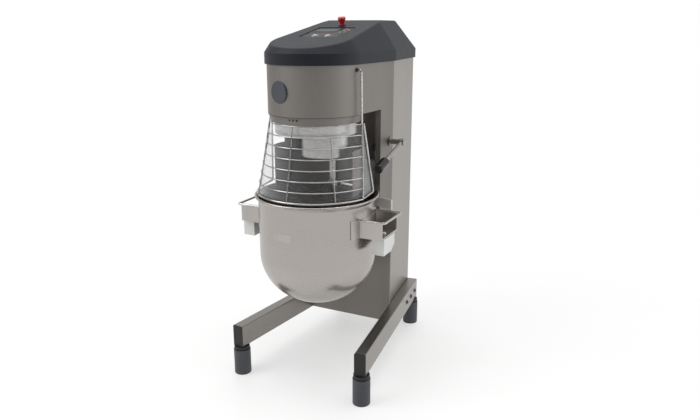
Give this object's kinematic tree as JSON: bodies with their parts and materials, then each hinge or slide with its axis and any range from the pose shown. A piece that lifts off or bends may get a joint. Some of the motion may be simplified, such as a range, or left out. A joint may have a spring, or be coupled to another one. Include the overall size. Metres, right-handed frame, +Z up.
{
  "type": "commercial stand mixer",
  "caption": "Floor-standing planetary food mixer with a lifting round-bottomed bowl, wire guard, side lift lever and sloping control hood on splayed legs.",
  "frame": {"origin": "on the floor, under the middle of the machine's bounding box", "axes": "+Z up; -Y is the front, where the operator stands; +X is the operator's right, the lever's side"},
  "size_m": [0.714, 0.9526, 1.5651],
  "materials": {
    "sheet_steel": "fine vertical brushing",
    "leg_steel": "brushed along the tube",
    "bowl_steel": "spun and satin polished",
    "wire_steel": "electropolished stainless wire",
    "ground_steel": "turned or ground",
    "zinc_steel": "zinc plated",
    "cast_iron": "as cast, machined faces",
    "cast_aluminium": "satin machined",
    "motor_paint": "satin enamel",
    "lift_paint": "light grey enamel",
    "hood_plastic": "moulded, lightly grained",
    "fascia_plastic": "satin film",
    "display_glass": "polished window",
    "badge_plastic": "blank domed disc",
    "black_plastic": "moulded",
    "foot_plastic": "moulded",
    "black_rubber": "moulded",
    "belt_rubber": "toothed belt, smooth back",
    "bronze": "turned",
    "grip_plastic": "polished",
    "red_plastic": "moulded",
    "green_plastic": "moulded",
    "white_plastic": "moulded",
    "clear_shield": "clear polycarbonate"
  },
  "bodies": {
    "base": {"column_base": "sheet_steel", "column_front": "sheet_steel", "column_side_left": "sheet_steel", "column_side_right": "sheet_steel", "display_window": "display_glass", "drive_belt": "belt_rubber", "drum_ring": "sheet_steel", "foot_collars": "black_rubber", "gearbox_plate": "cast_iron", "guard_bushes": "black_plastic", "guide_rods": "ground_steel", "head_casing": "sheet_steel", "head_floor": "sheet_steel", "hood": "hood_plastic", "hub_badge": "badge_plastic", "inverter": "motor_paint", "leg_bolts": "zinc_steel", "leg_end_caps": "black_plastic", "leg_tube_left": "leg_steel", "leg_tube_right": "leg_steel", "lever_bushes": "bronze", "main_bearings": "ground_steel", "mains_gland": "black_plastic", "motor_housing": "motor_paint", "panel_fascia": "fascia_plastic", "rear_cover": "sheet_steel", "rear_cover_screws": "zinc_steel", "recess_cheeks": "sheet_steel", "ring_gear": "ground_steel", "rod_brackets": "cast_iron", "stop_collar": "black_plastic"},
    "planet": {"planet_head": "cast_aluminium", "main_shaft": "ground_steel", "main_pulley": "cast_iron", "scraper_socket": "black_plastic"},
    "tool": {"tool_shaft": "ground_steel", "planet_pinion": "ground_steel"},
    "motor_rotor": {"motor_shaft": "ground_steel", "motor_pulley": "cast_iron"},
    "guard": {"guard_cage": "wire_steel", "guard_shield": "clear_shield"},
    "lift": {"lift_carriage": "lift_paint", "lift_fork": "lift_paint", "lift_rack": "ground_steel"},
    "lever": {"lever_shaft": "ground_steel", "lever_arm": "zinc_steel", "lever_grip": "grip_plastic", "lift_pinion": "ground_steel"},
    "bowl_unit": {"bowl": "bowl_steel", "bowl_lugs": "bowl_steel", "bowl_handles": "wire_steel"},
    "stop_button_body": {"stop_button": "red_plastic"},
    "stop_key_body": {"stop_key": "red_plastic"},
    "start_key_body": {"start_key": "green_plastic"},
    "speed_up_key_body": {"speed_up_key": "white_plastic"},
    "speed_down_key_body": {"speed_down_key": "white_plastic"},
    "foot_front_left_body": {"foot_front_left": "foot_plastic"},
    "foot_front_right_body": {"foot_front_right": "foot_plastic"},
    "foot_rear_left_body": {"foot_rear_left": "foot_plastic"},
    "foot_rear_right_body": {"foot_rear_right": "foot_plastic"}
  },
  "joints": [
    {"name": "planet_spin", "type": "hinge", "parent": "base", "child": "planet", "pos_m": [0, -0.2067, 1.12], "axis": [0, 0, 1], "continuous": true},
    {"name": "tool_spin", "type": "hinge", "parent": "planet", "child": "tool", "pos_m": [0.08, -0.2067, 1], "axis": [0, 0, 1], "continuous": true},
    {"name": "motor_spin", "type": "hinge", "parent": "base", "child": "motor_rotor", "pos_m": [0, 0.2633, 1.1], "axis": [0, 0, 1], "continuous": true},
    {"name": "guard_hinge", "type": "hinge", "parent": "base", "child": "guard", "pos_m": [0, -0.2277, 1.359], "axis": [-1, 0, 0], "range_deg": [0, 90]},
    {"name": "lift_slide", "type": "slide", "parent": "base", "child": "lift", "axis": [0, 0, -1], "range_m": [0, 0.2]},
    {"name": "lever_turn", "type": "hinge", "parent": "base", "child": "lever", "pos_m": [0, 0.0833, 1.03], "axis": [1, 0, 0], "range_deg": [0, 180]},
    {"name": "bowl_lift_off", "type": "slide", "parent": "lift", "child": "bowl_unit", "axis": [0, 0, 1], "range_m": [0, 0.005]},
    {"name": "stop_button_push", "type": "slide", "parent": "base", "child": "stop_button_body", "axis": [0, 0.1867, -0.9824], "range_m": [0, 0.004]},
    {"name": "stop_key_push", "type": "slide", "parent": "base", "child": "stop_key_body", "axis": [0, 0.1867, -0.9824], "range_m": [0, 0.0015], "stiffness_N_per_m": 400, "springref_m": -0.002},
    {"name": "start_key_push", "type": "slide", "parent": "base", "child": "start_key_body", "axis": [0, 0.1867, -0.9824], "range_m": [0, 0.0015], "stiffness_N_per_m": 400, "springref_m": -0.002},
    {"name": "speed_up_key_push", "type": "slide", "parent": "base", "child": "speed_up_key_body", "axis": [0, 0.1867, -0.9824], "range_m": [0, 0.0015], "stiffness_N_per_m": 400, "springref_m": -0.002},
    {"name": "speed_down_key_push", "type": "slide", "parent": "base", "child": "speed_down_key_body", "axis": [0, 0.1867, -0.9824], "range_m": [0, 0.0015], "stiffness_N_per_m": 400, "springref_m": -0.002},
    {"name": "foot_front_left_screw", "type": "slide", "parent": "base", "child": "foot_front_left_body", "axis": [0, 0, -1], "range_m": [0, 0.02]},
    {"name": "foot_front_right_screw", "type": "slide", "parent": "base", "child": "foot_front_right_body", "axis": [0, 0, -1], "range_m": [0, 0.02]},
    {"name": "foot_rear_left_screw", "type": "slide", "parent": "base", "child": "foot_rear_left_body", "axis": [0, 0, -1], "range_m": [0, 0.02]},
    {"name": "foot_rear_right_screw", "type": "slide", "parent": "base", "child": "foot_rear_right_body", "axis": [0, 0, -1], "range_m": [0, 0.02]}
  ],
  "couplings": [
    {"joint": "tool_spin", "follows": "planet_spin", "ratio": -2.6667},
    {"joint": "motor_spin", "follows": "planet_spin", "ratio": 4},
    {"joint": "lever_turn", "follows": "lift_slide", "rad_per_m": 15.625}
  ]
}
